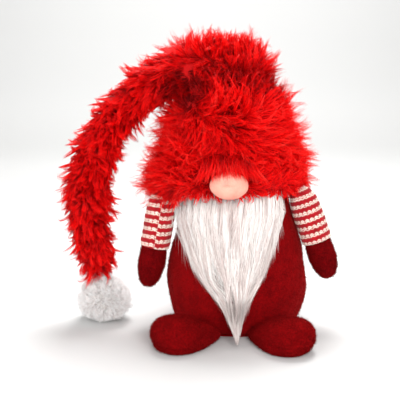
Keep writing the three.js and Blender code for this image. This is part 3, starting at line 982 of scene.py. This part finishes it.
def fur_tones():
    ground = plain_material("fur_ground", linear(160, 2, 4), 0.9)
    ground = fibrous(ground, linear(110, 1, 3), linear(190, 4, 6), 1 * MM, 0.3)
    return toned(ground, "fur", FUR_SHADES, 0.5, 0.1)


def white_tones(name, shades, colour, sheen=0.0):
    ground = plain_material(f"{name}_ground", linear(*colour), 0.9)
    ground = fibrous(ground, linear(*colour), linear(245, 238, 230), 1 * MM, 0.3)
    return toned(ground, name, shades, 0.55, 0.2, sheen)


def felt(name, dark, light, fibre):
    ground = plain_material(name, dark, 0.95, 0.03, 0.3, linear(230, 40, 40))
    ground = fibrous(ground, dark, light, 1.6 * MM, 1.0, 0.012, 0.35)
    return [ground, plain_material(f"{name}_fibre", fibre, 0.9, 0.03)]


def knit_yarn(name, dark, light):
    return fibrous(plain_material(name, dark, 0.85, 0.15, 0.2), dark, light, 0.5 * MM, 0.4, 0.006)


def jersey():
    skin = plain_material("nose_skin", linear(238, 160, 138), 0.8, 0.15, 0.1, linear(255, 215, 205), 0.1)
    skin = fibrous(skin, linear(228, 144, 126), linear(245, 170, 152), 0.7 * MM, 0.15, 0.01)
    # A darker, redder pink painted round the nose's fold: painted shade in the crease.
    return tinted_round(skin, NOSE_FOLD_SHADE, 6 * MM, linear(232, 96, 90))


MATERIALS = {
    "red_fur": fur_tones(),
    "white_pile": white_tones("pompom", POMPOM_SHADES, (252, 246, 244), 0.5),
    "beard_pile": white_tones("beard", BEARD_SHADES, (240, 232, 226)),
    "beard_backing": [knit_yarn("backing_knit", linear(226, 218, 210), linear(246, 240, 234))],
    "felt": felt("felt_red", linear(66, 2, 4), linear(138, 6, 10), linear(172, 26, 28)),
    # The mittens' felt is a darker copy of the body's felt: painted shade.
    "mitten_felt": felt("felt_mitten_shaded", linear(52, 2, 4), linear(122, 5, 9), linear(162, 24, 26)),
    "striped_knit": [knit_yarn("yarn_cream", linear(222, 206, 190), linear(250, 240, 226)),
                     knit_yarn("yarn_red", linear(122, 6, 16), linear(178, 14, 28))],
    "nose_jersey": [jersey()],
}


def finish_hidden():
    """Gives the pieces that nobody sees their own plain procedural finishes."""
    card = plain_material("grey_card", linear(170, 160, 140), 0.9)
    card = fibrous(card, linear(150, 140, 120), linear(190, 180, 160), 2 * MM, 0.2)
    pouch = plain_material("pouch_cloth", linear(220, 216, 206), 0.8)
    pouch = fibrous(pouch, linear(200, 196, 186), linear(235, 232, 224), 0.8 * MM, 0.4)
    thread = plain_material("tie_thread", linear(200, 190, 186), 0.7)
    thread = fibrous(thread, linear(180, 170, 166), linear(225, 218, 214), 0.4 * MM, 0.3)
    steel = plain_material("soft_wire", linear(150, 150, 152), 0.35, 0.5)
    steel = fibrous(steel, linear(120, 120, 124), linear(180, 180, 184), 2 * MM, 0.05)
    steel.node_tree.nodes["Principled BSDF"].inputs["Metallic"].default_value = 1.0
    chosen = {
        "base_card": card,
        "weight_bag": pouch,
        "pompom_tie": thread,
        "base_panel": MATERIALS["felt"][0],
    }
    for name, made in frame["nodes"].items():
        material = steel if name.endswith("_wire") else chosen.get(name)
        if material:
            made.data.materials.clear()
            made.data.materials.append(material)


# ---- Stage ----

SWEEP_PROFILE = [(-2.5, 0), (0.4, 0), (1.3, 0), (2.0, 0.12), (2.5, 0.8), (2.6, 3.0)]
WORLD_LIGHT = 0.6
CAMERA_PLACE = (-0.0404, -0.887, 0.288)
CAMERA_LOOK = (0, 0.887, -0.1529)
CAMERA_LENS = 74.2
# Each soft box's place, aim, size and power.
LIGHTS = {
    "overhead": ((0.06, 0.42, 1.15), (0, 0, 0.1), 0.7, 23),
    "front": ((0.25, -1.6, 0.75), (0, 0, 0.14), 0.9, 27),
    "side": ((-1.3, -1.0, 0.5), (-0.1, 0, 0.1), 0.8, 8),
    "backdrop": ((0, 1.2, 1.5), (0, 2.6, 0.8), 1.2, 24),
}


def make_stage():
    """A white paper sweep and an even light from all round."""
    rows, columns = 60, 4
    run = np.linspace(0, 1, rows)
    profile = through(SWEEP_PROFILE, run)
    across = np.linspace(-4, 4, columns)
    points = [[x, y, z] for y, z in profile for x in across]
    here = np.arange(rows - 1)[:, None] * columns + np.arange(columns - 1)[None]
    faces = np.stack([here, here + 1, here + columns + 1, here + columns], -1).reshape(-1, 4)
    white = plain_material("paper_sweep", linear(205, 205, 204), 0.9, 0.05)
    sweep = build("sweep", [(np.array(points), [faces], [np.zeros(len(faces))])], [white])
    world = bpy.data.worlds.new("studio")
    world.use_nodes = True
    sky = world.node_tree.nodes["Background"]
    sky.inputs["Color"].default_value = (1, 1, 1, 1)
    sky.inputs["Strength"].default_value = WORLD_LIGHT
    bpy.context.scene.world = world


def soft_box(name, place, aim, size, power):
    light = bpy.data.lights.new(name, "AREA")
    light.shape = "SQUARE"
    light.size = size
    light.energy = power
    made = bpy.data.objects.new(name, light)
    made.location = place
    made.rotation_euler = (Vector(aim) - Vector(place)).to_track_quat("-Z", "Y").to_euler()
    bpy.context.scene.collection.objects.link(made)


def make_camera():
    lens = bpy.data.cameras.new("view")
    lens.lens = CAMERA_LENS
    lens.sensor_width = 36.0
    made = bpy.data.objects.new("view", lens)
    made.location = CAMERA_PLACE
    made.rotation_euler = Vector(CAMERA_LOOK).to_track_quat("-Z", "Y").to_euler()
    bpy.context.scene.collection.objects.link(made)
    bpy.context.scene.camera = made


make_camera()
make_stage()
for lamp, (spot, target, width, watts) in LIGHTS.items():
    soft_box(lamp, spot, target, width, watts)
make_crown()
make_tail()
make_pompom()
make_body()
make_arms()
make_nose()
make_beard()
make_backing()
finish_hidden()
bpy.context.scene.view_settings.view_transform = "Standard"
